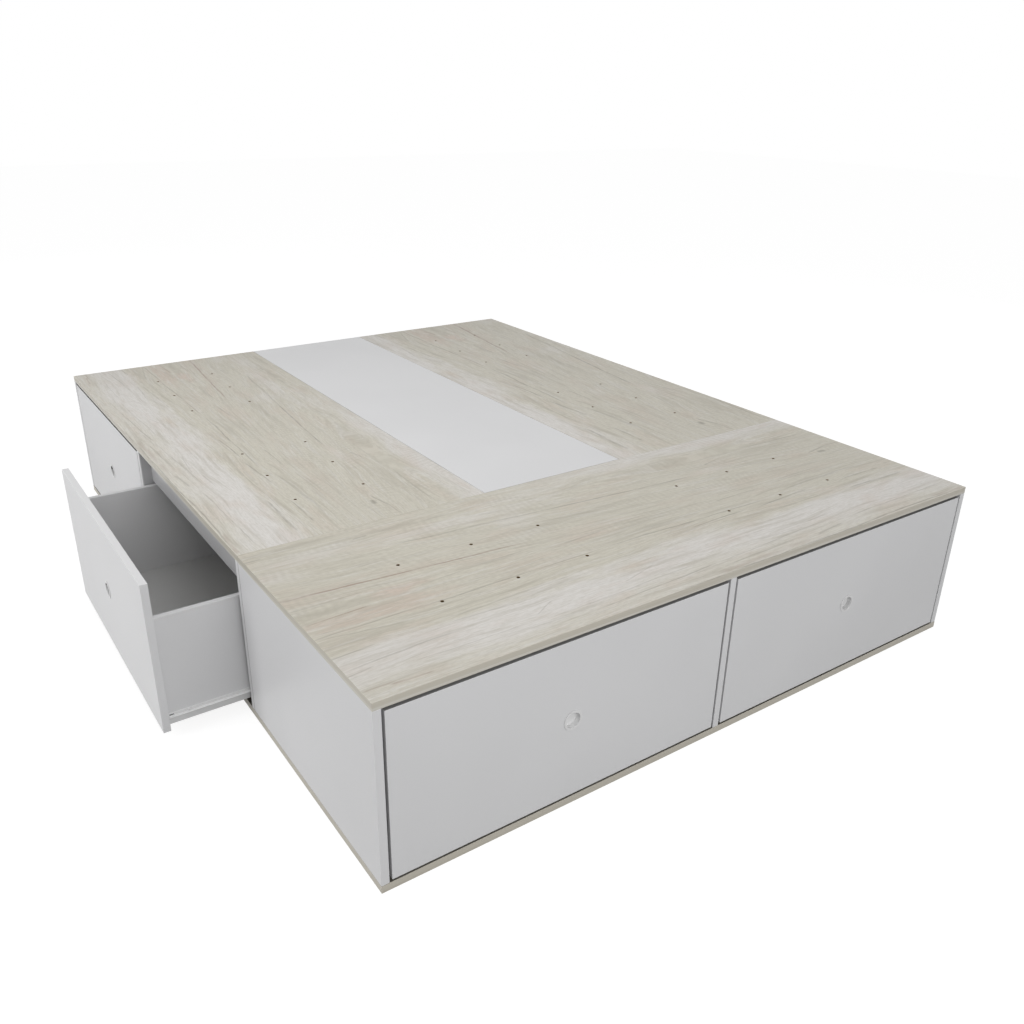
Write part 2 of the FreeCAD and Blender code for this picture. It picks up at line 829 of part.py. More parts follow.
def check_and_write():
    """Stop at any faulty feature, and write each part to its file."""
    for item in doc.Objects:
        if "Invalid" in item.State or "Error" in item.State:
            raise RuntimeError(f"{item.Label} did not build: {item.State}")
    for name, piece in nodes.items():
        if piece.Shape.isNull() or not piece.Shape.isValid():
            raise RuntimeError(f"{name} has a faulty shape")
    os.makedirs("parts", exist_ok=True)
    for name, piece in nodes.items():
        piece.Shape.exportStep(f"parts/{name}.step")
    print(f"{len(nodes)} parts written")


fill_sheet()
make_bed_base()
doc.recompute()
check_and_write()
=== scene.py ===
import math

import bpy
from mathutils import Matrix, Vector


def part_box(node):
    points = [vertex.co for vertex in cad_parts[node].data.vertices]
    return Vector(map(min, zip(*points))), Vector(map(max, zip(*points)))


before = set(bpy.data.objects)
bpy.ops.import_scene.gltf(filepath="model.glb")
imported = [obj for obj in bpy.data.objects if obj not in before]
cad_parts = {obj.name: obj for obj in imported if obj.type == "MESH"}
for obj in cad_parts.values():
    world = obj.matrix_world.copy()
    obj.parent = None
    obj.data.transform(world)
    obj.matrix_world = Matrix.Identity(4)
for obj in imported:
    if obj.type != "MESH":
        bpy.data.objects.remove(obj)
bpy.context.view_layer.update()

# The bed base stands on the floor with its foot end towards the camera. X runs across it, Y
# from the foot to the head and Z up, all in metres.

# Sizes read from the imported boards
FOOT_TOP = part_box("foot_module_top_board")
LEFT_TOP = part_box("left_module_top_board")
BED_WIDTH = FOOT_TOP[1].x - FOOT_TOP[0].x
BED_LENGTH = LEFT_TOP[1].y - FOOT_TOP[0].y
SIDE_LENGTH = LEFT_TOP[1].y - LEFT_TOP[0].y
MODULE_DEPTH = LEFT_TOP[1].x - LEFT_TOP[0].x
BED_HEIGHT = FOOT_TOP[1].z
BOARD = FOOT_TOP[1].z - FOOT_TOP[0].z
HALF_WIDTH = BED_WIDTH / 2

# Camera, as it stood for the photograph
CAMERA_PLACE = Vector((-1.2248, -1.0266, 1.1803))
CAMERA_AIM = Vector((0.0131, 0.7436, 0.2))
CAMERA_ROLL = math.radians(1.011)
CAMERA_LENS_MM = 33.05
SENSOR_MM = 36

# Strength of the even light from all round, which the lamps add to
ROOM_LIGHT = 0.55

# Each lamp: name, place, aim, side in metres and watts
LAMPS = (
    ("middle lamp", (-0.5, 0.9, 1.75), (-0.5, 0.9, 0.2), 1.2, 4.9),
    ("left lamp", (-4.2, 1.15, 1.6), (-0.6, 0.9, 0.2), 2.2, 61.0),
    ("foot lamp", (-0.75, -2.45, 1.5), (-0.1, 0.1, 0.2), 1.7, 36.8),
    ("right lamp", (4.2, 0.4, 0.9), (0.75, 1.0, 0.2), 1.6, 16.0),
    ("head lamp", (-1.8, 5.6, 1.1), (0.0, 1.95, 0.2), 2.0, 15.0),
)

# The floor: half its width, its grey under the lamps and its glow towards the camera
FLOOR_HALF = 14
FLOOR_GREY = "828282"
FLOOR_GLOW = 0.868

# Colours of the bleached oak print
OAK_BEIGE = "C7C3B6"
OAK_PALE = "D5D2CE"
OAK_ROSE = "C4B4A7"
OAK_SHADE = "A39D8F"
OAK_STREAK = "D1CFCB"
OAK_LINE = "706A5E"
OAK_RED_LINE = "8A7264"
OAK_KNOT = "706C62"
# Painted shade for the bottom boards' upper faces inside the modules
OAK_PAINTED_SHADE = "2E2A22"

# Colours of the boards' edge bands and of the bare chipboard in their bores
BAND_PALE = "C8C5BC"
BAND_DULL = "B9B4A8"
BAND_TAUPE = "BDB8AC"
BAND_LINE = "ADA79A"
CHIP_LIGHT = "8A7250"
CHIP_BROWN = "5A4930"
# Painted shade deep in the bores
BORE_PAINTED_SHADE = "1E1B16"

# Colours of the white boards, and of the specks and the painted shade on them
WHITE = "D6D6D7"
DRAWER_WHITE = "D0D0D1"
SPECK_GREY = "9A9A98"
JOINT_PAINTED_SHADE = "8E8E8E"
IN_MODULE_PAINTED_SHADE = "8C8C8E"
TOP_EDGE_PAINTED_SHADE = "3C3A36"
SLOT_PAINTED_SHADE = "2A2A2A"

# Colours of the drawer bottoms, cleats, runners, pulls, screws and bolts
SHEET_WHITE = "CFCFCE"
SHEET_DULL = "C6C6C5"
FELT_LIGHT = "A5835A"
FELT_BROWN = "7A5F40"
PINE_LIGHT = "C79F6A"
PINE_BROWN = "A87A45"
STEEL_WHITE = "D2D2D2"
STEEL_RUBBED = "C4C4C2"
# Painted light for the runners' upper faces
STEEL_PAINTED_LIGHT = "F0F0F0"
PLASTIC_WHITE = "DADADA"
PLASTIC_DULL = "D4D4D4"
# Painted shadow round the pulls' rims
RIM_SHADOW_GREY = "9A9A9A"
ZINC_BRIGHT = "B9BCC0"
ZINC_DULL = "8F9296"

# Distances in metres over which the board's own tone gives way to painted shade, from its start to
# its end: beside the joint between the modules, inwards from the bed base's outside, and inwards
# from the outer faces of the drawer sides
JOINT_FADE = (0.0014, 0.0006)
INWARD_FADE = (0.001, 0.004)
FACE_FADE = (0.0008, 0.0004)

# How far a bore stays inside the outline of its board in metres, and where painted shade darkens it
# below the upper face, in shares of the board's height
BORE_INSET = 0.002
BORE_FADE = (1.0, 0.7)

# Edge bands: noise marks per metre of length and over the whole height, how far they bend the
# line between the band's two tones, and where that line lies, in shares of the height
BAND_MARKS_ALONG = 2.5
BAND_MARKS_OVER = 9
BAND_WAVER = 0.45
BAND_TONES_MEET = (0.20, 0.42)

# How far a face's direction rises, from where it starts to count to where it counts in full: for
# upper faces, for upper edges with painted shade and for upright faces. Faces under the last one
# face down.
UPPER_FACE = (0.5, 0.9)
SHADED_TOP_EDGE = (0.6, 0.9)
UPRIGHT_FACE = (0.75, 0.55)
LOWER_FACE = -0.5

# Most of the smooth noise lies between these
NOISE_SPAN = (0.3, 0.7)

# How bright the cloudy places of a white board are, next to the rest of it
CLOUDY_SHARE = 0.955

# Marks per metre in the pine's grain, across and along it
PINE_ACROSS = 90
PINE_ALONG = 3

# Middle of the runner's slot above the lower edge of the drawer sides, half its height, and the
# height of its soft edge
SLOT_RISE = 0.0195
SLOT_HALF = 0.0012
SLOT_EDGE = 0.0002

# Painted light and shade on the pulls by drawer: the cup's wall, the upper part of that wall
# (painted shade under the lip, and painted light on the foot's right pull), where that part starts
# above the pull's middle in metres, and the share of the painted shadow line round the rim
PULL_PAINTED_LIGHT_AND_SHADE = {
    "foot_left": ("DCDCDC", "9A9A9A", 0.006, 0.9),
    "foot_right": ("C2C2C2", "DADADA", -0.003, 0.35),
    "middle": ("A6A6A6", "282828", 0.003, 0.35),
    "head": ("949494", "282828", -0.002, 0.35),
}
# Painted light on the cups' floors, at the foot and on the sides
CUP_FLOOR_PAINTED_LIGHT_AT_FOOT = "DCDCDC"
CUP_FLOOR_PAINTED_LIGHT_AT_SIDE = "F0F0F0"

# Where the tones of a pull start and end, in metres: heights over the start of the upper wall,
# depths below the flange's face, and distances from the pull's axis
UPPER_WALL_BLEND = 0.004
UPPER_WALL_DEPTHS = (0.0003, 0.0009)
WALL_DEPTHS = (0.0015, 0.0045)
CUP_FLOOR_DEPTHS = (0.0100, 0.0108)
MOUTH_RADII = (0.0165, 0.0155)
RIM_DEPTHS = (0.0004, 0.0008)
RIM_RADII = (0.0175, 0.0185)

# How hard a finish's small unevenness shows, as a height in metres
PRINT_GROOVE = 0.00012
MELAMINE_PEEL = 0.00002
STEEL_PEEL = 0.00003

# The right boards show a part of the print, from this place across the bed and this much larger
RIGHT_PRINT_START = 0.0425
RIGHT_PRINT_SCALE = 1.55

# Sockets of a mix node that take and give colours
MIX_FIRST = 6
MIX_SECOND = 7
MIX_RESULT = 2


def colour(hex_code):
    """The linear colour of a six-digit code, with full alpha."""
    parts = [int(hex_code[place : place + 2], 16) / 255 for place in (0, 2, 4)]
    low = 0.04045
    linear = [part / 12.92 if part <= low else ((part + 0.055) / 1.055) ** 2.4 for part in parts]
    return (*linear, 1)


class Tree:
    """Adds nodes to a material's or a group's tree and joins them up."""

    def __init__(self, tree):
        self.tree = tree

    def node(self, kind, **settings):
        """A new node with its settings."""
        made = self.tree.nodes.new(kind)
        for name, value in settings.items():
            setattr(made, name, value)
        return made

    def feed(self, socket, value):
        """Join a socket to another's output, or give it a plain value."""
        if isinstance(value, bpy.types.NodeSocket):
            self.tree.links.new(value, socket)
        elif value is not None:
            socket.default_value = value

    def math(self, operation, first, second=None, third=None):
        """One step of arithmetic."""
        made = self.node("ShaderNodeMath", operation=operation)
        for socket, value in zip(made.inputs, (first, second, third)):
            self.feed(socket, value)
        return made.outputs[0]

    def smooth(self, value, start, end, low=0, high=1):
        """A soft step from low at start to high at end."""
        made = self.node("ShaderNodeMapRange", interpolation_type="SMOOTHSTEP", clamp=False)
        for socket, given in zip(made.inputs, (value, start, end, low, high)):
            self.feed(socket, given)
        return made.outputs[0]

    def between(self, value, low, high):
        """How far a value is from the nearer of two limits, counted inwards."""
        from_low = self.math("SUBTRACT", value, low)
        from_high = self.math("SUBTRACT", high, value)
        return self.math("MINIMUM", from_low, from_high)

    def mix(self, share, first, second):
        """Two colours mixed by a share."""
        made = self.node("ShaderNodeMix", data_type="RGBA")
        self.feed(made.inputs[0], share)
        self.feed(made.inputs[MIX_FIRST], first)
        self.feed(made.inputs[MIX_SECOND], second)
        return made.outputs[MIX_RESULT]

    def vector(self, x, y, z=0):
        """A vector from three values."""
        made = self.node("ShaderNodeCombineXYZ")
        for socket, value in zip(made.inputs, (x, y, z)):
            self.feed(socket, value)
        return made.outputs[0]

    def noise(self, vector, scale=1, detail=2, roughness=0.5, flat=False):
        """Smooth noise from 0 to 1, in space or on a flat."""
        made = self.node("ShaderNodeTexNoise", noise_dimensions="2D" if flat else "3D")
        self.feed(made.inputs["Vector"], vector)
        self.feed(made.inputs["Scale"], scale)
        self.feed(made.inputs["Detail"], detail)
        self.feed(made.inputs["Roughness"], roughness)
        return made.outputs["Fac"]

    def place(self):
        """The point's place on the bed base, whole and as x, y and z."""
        point = self.node("ShaderNodeTexCoord").outputs["Object"]
        split = self.node("ShaderNodeSeparateXYZ")
        self.feed(split.inputs[0], point)
        return point, split.outputs

    def normal(self):
        """The surface's direction, as x, y and z."""
        split = self.node("ShaderNodeSeparateXYZ")
        self.feed(split.inputs[0], self.node("ShaderNodeNewGeometry").outputs["True Normal"])
        return split.outputs

    def group(self, group, *values):
        """A use of a node group with its inputs."""
        made = self.node("ShaderNodeGroup", node_tree=group)
        for socket, value in zip(made.inputs, values):
            self.feed(socket, value)
        return made.outputs


def new_group(name, inputs, outputs):
    """An empty node group with number inputs, and its tree, input sockets and output sockets."""
    group = bpy.data.node_groups.new(name, "ShaderNodeTree")
    for label in inputs:
        group.interface.new_socket(label, in_out="INPUT", socket_type="NodeSocketFloat")
    for label, kind in outputs:
        group.interface.new_socket(label, in_out="OUTPUT", socket_type=f"NodeSocket{kind}")
    tree = Tree(group)
    return group, tree, tree.node("NodeGroupInput").outputs, tree.node("NodeGroupOutput").inputs


def new_finish(name, roughness=None, specular=0.5):
    """A new material, with a plain roughness if one is given, its tree and its shader."""
    finish = bpy.data.materials.new(name)
    finish.use_nodes = True
    shader = next(node for node in finish.node_tree.nodes if node.type == "BSDF_PRINCIPLED")
    shader.inputs["Specular IOR Level"].default_value = specular
    tree = Tree(finish.node_tree)
    tree.feed(shader.inputs["Roughness"], roughness)
    return finish, tree, shader


def give_roughness(tree, shader, noise, low, high):
    """Let the roughness follow smooth noise from low to high."""
    tree.feed(shader.inputs["Roughness"], tree.smooth(noise, *NOISE_SPAN, low, high))


def give_bump(tree, shader, height, distance):
    """Raise the surface by a height map."""
    bump = tree.node("ShaderNodeBump")
    tree.feed(bump.inputs["Height"], height)
    tree.feed(bump.inputs["Distance"], distance)
    tree.feed(shader.inputs["Normal"], bump.outputs[0])


# The oak print: each line is start along, start across, end along, end across, half width and
# darkness, with all but the last in metres on the print of the foot board
PRINT_LINES = (
    (0.560, 0.002, 1.495, 0.005, 0.0030, 0.55),
    (0.440, 0.029, 0.760, 0.041, 0.0022, 0.40),
    (0.740, 0.040, 1.100, 0.058, 0.0020, 0.30),
    (1.080, 0.042, 1.495, 0.048, 0.0020, 0.34),
    (0.000, 0.092, 0.215, 0.101, 0.0024, 0.34),
    (-0.05, 0.131, 0.080, 0.139, 0.0034, 0.36),
    (0.200, 0.131, 0.390, 0.122, 0.0020, 0.24),
    (0.000, 0.197, 0.165, 0.169, 0.0022, 0.26),
    (-0.05, 0.198, 0.630, 0.207, 0.0026, 0.40),
    (0.600, 0.208, 1.050, 0.199, 0.0026, 0.50),
    (0.800, 0.179, 0.985, 0.184, 0.0024, 0.48),
    (1.005, 0.180, 1.185, 0.188, 0.0024, 0.42),
    (1.285, 0.185, 1.435, 0.182, 0.0026, 0.42),
    (1.265, 0.142, 1.460, 0.137, 0.0032, 0.44),
    (0.940, 0.250, 1.095, 0.249, 0.0024, 0.34),
    (1.100, 0.215, 1.400, 0.225, 0.0060, 0.16),
    (0.620, 0.232, 0.900, 0.226, 0.0040, 0.16),
    (0.250, 0.440, 0.600, 0.411, 0.0046, 0.30),
    (0.530, 0.417, 1.030, 0.378, 0.0032, 0.52),
    (1.360, 0.338, 1.440, 0.352, 0.0026, 0.44),
    (1.420, 0.351, 1.500, 0.353, 0.0024, 0.30),
    (1.080, 0.417, 1.140, 0.429, 0.0026, 0.32),
    (1.220, 0.451, 1.485, 0.443, 0.0030, 0.24),
    (-0.02, 0.517, 0.034, 0.517, 0.0036, 0.44),
    (0.210, 0.501, 0.245, 0.503, 0.0034, 0.38),
    (-0.02, 0.076, 0.050, 0.083, 0.0022, 0.30),
    (0.345, 0.070, 0.400, 0.100, 0.0020, 0.26),
    (0.545, 0.080, 0.640, 0.104, 0.0022, 0.28),
    (0.200, 0.147, 0.500, 0.150, 0.0030, 0.24),
    (0.230, 0.270, 0.530, 0.284, 0.0030, 0.24),
    (0.540, 0.262, 0.650, 0.268, 0.0026, 0.26),
    (-0.02, 0.305, 0.150, 0.303, 0.0026, 0.24),
    (0.880, 0.070, 1.020, 0.056, 0.0024, 0.26),
    (1.020, 0.153, 1.350, 0.151, 0.0024, 0.28),
    (1.030, 0.072, 1.130, 0.078, 0.0022, 0.26),
    (1.000, 0.020, 1.100, 0.030, 0.0034, 0.36),
    (0.335, 0.052, 0.735, 0.060, 0.0018, 0.26),
    (0.750, 0.024, 0.940, 0.031, 0.0020, 0.28),
    (0.740, 0.097, 0.960, 0.094, 0.0018, 0.22),
    (0.090, 0.062, 0.340, 0.059, 0.0020, 0.20),
)
RED_LINES = (
    (-0.04, 0.349, 0.515, 0.307, 0.0034, 0.66),
    (0.000, 0.249, 0.130, 0.251, 0.0026, 0.50),
    (0.040, 0.024, 0.120, 0.021, 0.0040, 0.42),
    (0.000, 0.030, 0.060, 0.029, 0.0030, 0.34),
    (1.380, 0.010, 1.495, 0.006, 0.0070, 0.34),
    (0.700, 0.010, 1.000, 0.016, 0.0090, 0.22),
)

# Soft spots of the print: middle along, middle across, half length, half width and strength
PRINT_BLUSHES = (
    (0.120, 0.230, 0.170, 0.032, 0.75),
    (0.190, 0.277, 0.080, 0.022, 0.85),
    (0.600, 0.265, 0.060, 0.012, 0.50),
    (0.010, 0.330, 0.070, 0.030, 0.45),
    (0.620, 0.120, 0.060, 0.010, 0.40),
    (0.450, 0.240, 0.120, 0.020, 0.30),
)
PRINT_CLOUDS = (
    (0.020, 0.430, 0.070, 0.035, 0.60),
    (0.530, 0.405, 0.060, 0.045, 0.50),
    (0.430, 0.462, 0.280, 0.026, 0.60),
    (0.120, 0.480, 0.140, 0.034, 0.55),
    (1.090, 0.392, 0.060, 0.020, 0.40),
    (0.620, 0.500, 0.160, 0.026, 0.45),
)
PRINT_SHADES = (
    (0.620, 0.355, 0.200, 0.016, 0.35),
    (0.080, 0.530, 0.120, 0.012, 0.50),
    (0.300, 0.508, 0.140, 0.012, 0.50),
    (0.980, 0.470, 0.160, 0.030, 0.24),
    (1.300, 0.425, 0.180, 0.030, 0.30),
    (0.090, 0.170, 0.120, 0.014, 0.35),
)
PRINT_KNOT = (1.405, 0.330, 0.015, 0.006, 0.55)

# Parts of the print, each from where it starts to where it is in full, in metres across the print:
# the pale front and back, the front edge's end, the streaks' calmer part and the ripples
PALE_FRONT = (0.168, 0.110)
PALE_BACK = (0.475, 0.530)
FRONT_EDGE_END = (0.010, 0.082)
CALM_STREAKS = (0.24, 0.36)
RIPPLES = (0.19, 0.26)

# The same in metres along the print: the pale back and the shaded start
PALE_BACK_ALONG = (0.45, 1.0)
SHADED_START = (0.30, 0.0)

# Slope of the grain in a strip of the print, the start and the end of that strip in metres across,
# and the place in metres along that the grain turns about
PRINT_SLOPE = 0.078
SLOPE_STARTS = (0.23, 0.32)
SLOPE_ENDS = (0.50, 0.44)
SLOPE_MIDDLE = 0.5

# How far noise bends the grain, the thin lines and the edges of the pale parts, in metres
GRAIN_WAVER = 0.03
LINE_WAVER = 0.012
PALE_WAVER = 0.11
PALE_RAGGED = 0.03

# A cross ripple's length in metres, and how it bends with noise and slants across the print
RIPPLE_LENGTH = 0.015
RIPPLE_WAVER = 26
RIPPLE_SLANT = 30

# Roughness of the print, and how much its fibres add to it
PRINT_ROUGHNESS = 0.42
FIBRE_ROUGHNESS = 0.16

# Thin lines: the share of the half width that is fully dark, and of the run that fades at each end
LINE_CORE = 0.1
LINE_TAPER = 0.16

# Spots: how ragged their edge is, and where they start and are in full, as shares of their size
SPOT_RAGGED = 1.8
SPOT_EDGE = (1.2, 0.1)

# How far the darkness of a line or spot shifts the place along, which is too little to see
TINY_SHIFT = 0.00001


def print_line_group():
    """One thin dark line of the print, which breaks up along its run.

    It hands on the darkest line so far and a place along that depends on it, so that the lines
    are worked out one after another and the renderer needn't hold them all at once.
    """
    inputs = ("So far", "Along", "Across", "Breaks", "Start along", "Start across", "End along")
    group, tree, given, out = new_group(
        "print line",
        (*inputs, "End across", "Half width", "Darkness"),
        [("Lines", "Float"), ("Next along", "Float")],
    )
    so_far, along, across, breaks, start_along, start_across, end_along, end_across = given[:8]
    half, dark = given[8:10]
    run = tree.math("SUBTRACT", end_along, start_along)
    share = tree.math("DIVIDE", tree.math("SUBTRACT", along, start_along), run)
    rise = tree.math("SUBTRACT", end_across, start_across)
    middle = tree.math("MULTIPLY_ADD", share, rise, start_across)
    away = tree.math("ABSOLUTE", tree.math("SUBTRACT", across, middle))
    line = tree.smooth(away, half, tree.math("MULTIPLY", half, LINE_CORE))
    begins = tree.smooth(share, 0, LINE_TAPER)
    ends = tree.smooth(share, 1, 1 - LINE_TAPER)
    for factor in (begins, ends, breaks, dark):
        line = tree.math("MULTIPLY", line, factor)
    line = tree.math("MAXIMUM", line, so_far)
    tree.feed(out[0], line)
    tree.feed(out[1], tree.math("MULTIPLY_ADD", line, TINY_SHIFT, along))
    return group


def print_spot_group():
    """One soft oval spot of the print, with a ragged edge, handed on as the lines are."""
    inputs = ("So far", "Along", "Across", "Ragged", "Middle along", "Middle across")
    group, tree, given, out = new_group(
        "print spot",
        (*inputs, "Half length", "Half width", "Strength"),
        [("Spots", "Float"), ("Next along", "Float")],
    )
    so_far, along, across, ragged, middle_along, middle_across = given[:6]
    half_length, half_width, strength = given[6:9]
    far = tree.math("DIVIDE", tree.math("SUBTRACT", along, middle_along), half_length)
    wide = tree.math("DIVIDE", tree.math("SUBTRACT", across, middle_across), half_width)
    squares = tree.math("MULTIPLY_ADD", far, far, tree.math("MULTIPLY", wide, wide))
    away = tree.math("SQRT", squares)
    away = tree.math("MULTIPLY_ADD", ragged, SPOT_RAGGED, away)
    spot = tree.math("MULTIPLY", tree.smooth(away, *SPOT_EDGE), strength)
    spot = tree.math("MAXIMUM", spot, so_far)
    tree.feed(out[0], spot)
    tree.feed(out[1], tree.math("MULTIPLY_ADD", spot, TINY_SHIFT, along))
    return group


def oak_print_group():
    """The bleached oak print of the top and bottom boards, by metres along and across the grain."""
    line_group = print_line_group()
    spot_group = print_spot_group()
    outputs = [("Colour", "Color"), ("Height", "Float"), ("Roughness", "Float")]
    group, tree, given, out = new_group("oak print", ("Along", "Across"), outputs)
    along, across = given[:2]

    def pattern(across_value, length, width, detail=2, seed=0.0):
        """Noise drawn out into marks of about this length and width in metres, from -0.5 to 0.5."""
        far = tree.math("MULTIPLY_ADD", along, 1 / length, seed)
        wide = tree.math("MULTIPLY_ADD", across_value, 1 / width, seed * 3)
        fac = tree.noise(tree.vector(far, wide), detail=detail, roughness=0.6, flat=True)
        return tree.math("SUBTRACT", fac, 0.5)

    def spots(places):
        """The strongest of several spots at each point."""
        strongest, place_along = 0, along
        for place in places:
            values = (strongest, place_along, across, ragged, *place)
            strongest, place_along = tree.group(spot_group, *values)[:2]
        return strongest

    def lines(places):
        """The darkest of several lines at each point."""
        darkest, place_along = 0, along
        for place in places:
            values = (darkest, place_along, wavered, breaks, *place)
            darkest, place_along = tree.group(line_group, *values)[:2]
        return darkest

    # The grain slopes a little in the middle of the print
    swells = tree.smooth(across, *SLOPE_STARTS)
    swell = tree.math("MULTIPLY", swells, tree.smooth(across, *SLOPE_ENDS))
    slope = tree.math("MULTIPLY", tree.math("SUBTRACT", along, SLOPE_MIDDLE), PRINT_SLOPE)
    flow = tree.math("MULTIPLY_ADD", slope, swell, across)
    waver = pattern(across, length=0.35, width=0.12, detail=1, seed=2.3)
    flow = tree.math("MULTIPLY_ADD", waver, GRAIN_WAVER, flow)
    uneven = pattern(flow, length=0.22, width=0.05, detail=3, seed=3.1)
    ragged = pattern(flow, length=0.06, width=0.012, seed=4.4)
    wavered = tree.math("MULTIPLY_ADD", uneven, LINE_WAVER, across)
    breaks = tree.smooth(ragged, -0.22, 0.08, low=0.45)

    # Pale along the front edge and in the far corner, warmer between
    edge = tree.math("MULTIPLY_ADD", uneven, PALE_WAVER, across)
    edge = tree.math("MULTIPLY_ADD", ragged, PALE_RAGGED, edge)
    front = tree.smooth(edge, *PALE_FRONT)
    back = tree.smooth(edge, *PALE_BACK)
    back = tree.math("MULTIPLY", back, tree.smooth(along, *PALE_BACK_ALONG))
    pale = tree.math("MAXIMUM", front, tree.math("MULTIPLY", back, 0.9))
    pale = tree.math("MAXIMUM", pale, spots(PRINT_CLOUDS))
    pale = tree.math("MULTIPLY", pale, tree.smooth(edge, *FRONT_EDGE_END, low=0.30))
    tone = tree.mix(pale, colour(OAK_BEIGE), colour(OAK_PALE))
    rosy = pattern(across, length=0.16, width=0.06, seed=9.6)
    tone = tree.mix(tree.smooth(rosy, -0.04, 0.24, high=0.30), tone, colour(OAK_ROSE))
    tone = tree.mix(spots(PRINT_BLUSHES), tone, colour(OAK_ROSE))
    tone = tree.mix(spots(PRINT_SHADES), tone, colour(OAK_SHADE))
    start_shade = tree.smooth(along, *SHADED_START, high=0.16)
    tone = tree.mix(start_shade, tone, colour(OAK_SHADE))

    # Streaks along the grain, then fibres, then the rough grain of the sheet, weaker where pale
    strong = tree.math("MULTIPLY_ADD", pale, -0.3, 1)
    broad = pattern(flow, length=0.26, width=0.014, seed=1.7)
    broad = tree.smooth(broad, -0.02, 0.26, high=0.50)
    calm = tree.smooth(across, *CALM_STREAKS, low=1, high=0.6)
    broad = tree.math("MULTIPLY", broad, tree.math("MULTIPLY", strong, calm))
    tone = tree.mix(broad, tone, colour(OAK_SHADE))
    soft = pattern(flow, length=0.16, width=0.008, seed=8.3)
    tone = tree.mix(tree.smooth(soft, 0.00, 0.22, high=0.45), tone, colour(OAK_STREAK))
    fibre = pattern(flow, length=0.055, width=0.0026, detail=3, seed=5.2)
    fibre = tree.smooth(fibre, 0.14, -0.22, high=0.34)
    fibre = tree.math("MULTIPLY", fibre, strong)
    tone = tree.mix(fibre, tone, colour(OAK_SHADE))
    rough = pattern(flow, length=0.014, width=0.0032, seed=6.6)
    rough = tree.smooth(rough, 0.10, -0.22, high=0.26)
    rough = tree.math("MULTIPLY", rough, strong)
    tone = tree.mix(rough, tone, colour(OAK_SHADE))

    # Fine cross ripples, as of a saw, in patches away from the front edge
    phase = tree.math("MULTIPLY", along, math.tau / RIPPLE_LENGTH)
    phase = tree.math("MULTIPLY_ADD", waver, RIPPLE_WAVER, phase)
    phase = tree.math("MULTIPLY_ADD", across, RIPPLE_SLANT, phase)
    patches = tree.smooth(uneven, -0.04, 0.08)
    patches = tree.math("MULTIPLY", patches, tree.smooth(across, *RIPPLES))
    ripple = tree.smooth(tree.math("SINE", phase), -1, 1, high=0.16)
    tone = tree.mix(tree.math("MULTIPLY", ripple, patches), tone, colour(OAK_SHADE))

    tone = tree.mix(lines(RED_LINES), tone, colour(OAK_RED_LINE))
    tone = tree.mix(lines(PRINT_LINES), tone, colour(OAK_LINE))
    tone = tree.mix(spots([PRINT_KNOT]), tone, colour(OAK_KNOT))
    tree.feed(out[0], tone)
    tree.feed(out[1], tree.math("SUBTRACT", 1, fibre))
    tree.feed(out[2], tree.math("MULTIPLY_ADD", fibre, FIBRE_ROUGHNESS, PRINT_ROUGHNESS))
    return group


def oak_board(name, group, along, across, low, high, inside_shade, band_low):
    """A printed oak board between its low and high corners: print on its faces, band on its edges.

    Its upper face darkens by inside_shade with painted shade, where that face lies inside the
    module, and its band has the colour band_low along its lower edge.
    """
    finish, tree, shader = new_finish(name, specular=0.3)
    point, (x, y, z) = tree.place()
    normal = tree.normal()
    print_tone, height, roughness = tree.group(group, along(tree, x, y), across(tree, x, y))

    # The glued edge band: fine lines along the board, with another tone near its lower edge
    share = tree.math("DIVIDE", tree.math("SUBTRACT", z, low.z), BOARD)
    run = tree.math("ADD", x, y)
    marks_along = tree.math("MULTIPLY", run, BAND_MARKS_ALONG)
    marks_over = tree.math("MULTIPLY", share, BAND_MARKS_OVER)
    lined = tree.noise(tree.vector(marks_along, marks_over), detail=3, flat=True)
    bent = tree.math("MULTIPLY_ADD", tree.math("SUBTRACT", lined, 0.5), BAND_WAVER, share)
    upper = tree.smooth(bent, *BAND_TONES_MEET)
    band = tree.mix(upper, colour(band_low), colour(BAND_TAUPE))
    band = tree.mix(tree.smooth(lined, 0.52, 0.75, high=0.5), band, colour(BAND_LINE))

    # Bare chipboard in the bores: any upright surface that isn't on the board's outline, with
    # painted shade deeper down
    inside_x = tree.between(x, low.x, high.x)
    inside_y = tree.between(y, low.y, high.y)
    inside = tree.math("MINIMUM", inside_x, inside_y)
    bored = tree.math("GREATER_THAN", inside, BORE_INSET)
    chips = tree.noise(point, scale=900)
    chipped = tree.mix(chips, colour(CHIP_BROWN), colour(CHIP_LIGHT))
    chipped = tree.mix(tree.smooth(share, *BORE_FADE, high=0.8), chipped, colour(BORE_PAINTED_SHADE))

    upright = tree.smooth(tree.math("ABSOLUTE", normal[2]), *UPRIGHT_FACE)
    edge = tree.mix(bored, band, chipped)
    # Painted shade on upper faces, by inside_shade
    upwards = tree.smooth(normal[2], *UPPER_FACE, high=inside_shade)
    sheet = tree.mix(upwards, print_tone, colour(OAK_PAINTED_SHADE))
    tree.feed(shader.inputs["Base Color"], tree.mix(upright, sheet, edge))
    tree.feed(shader.inputs["Roughness"], roughness)
    give_bump(tree, shader, height, PRINT_GROOVE)
    return finish


def at_slot(tree, z):
    """1 at the height of the slots in the drawer runners, and 0 above and below."""
    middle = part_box("foot_left_drawer_sides")[0].z + SLOT_RISE
    away = tree.math("ABSOLUTE", tree.math("SUBTRACT", z, middle))
    return tree.smooth(away, SLOT_HALF + SLOT_EDGE, SLOT_HALF)


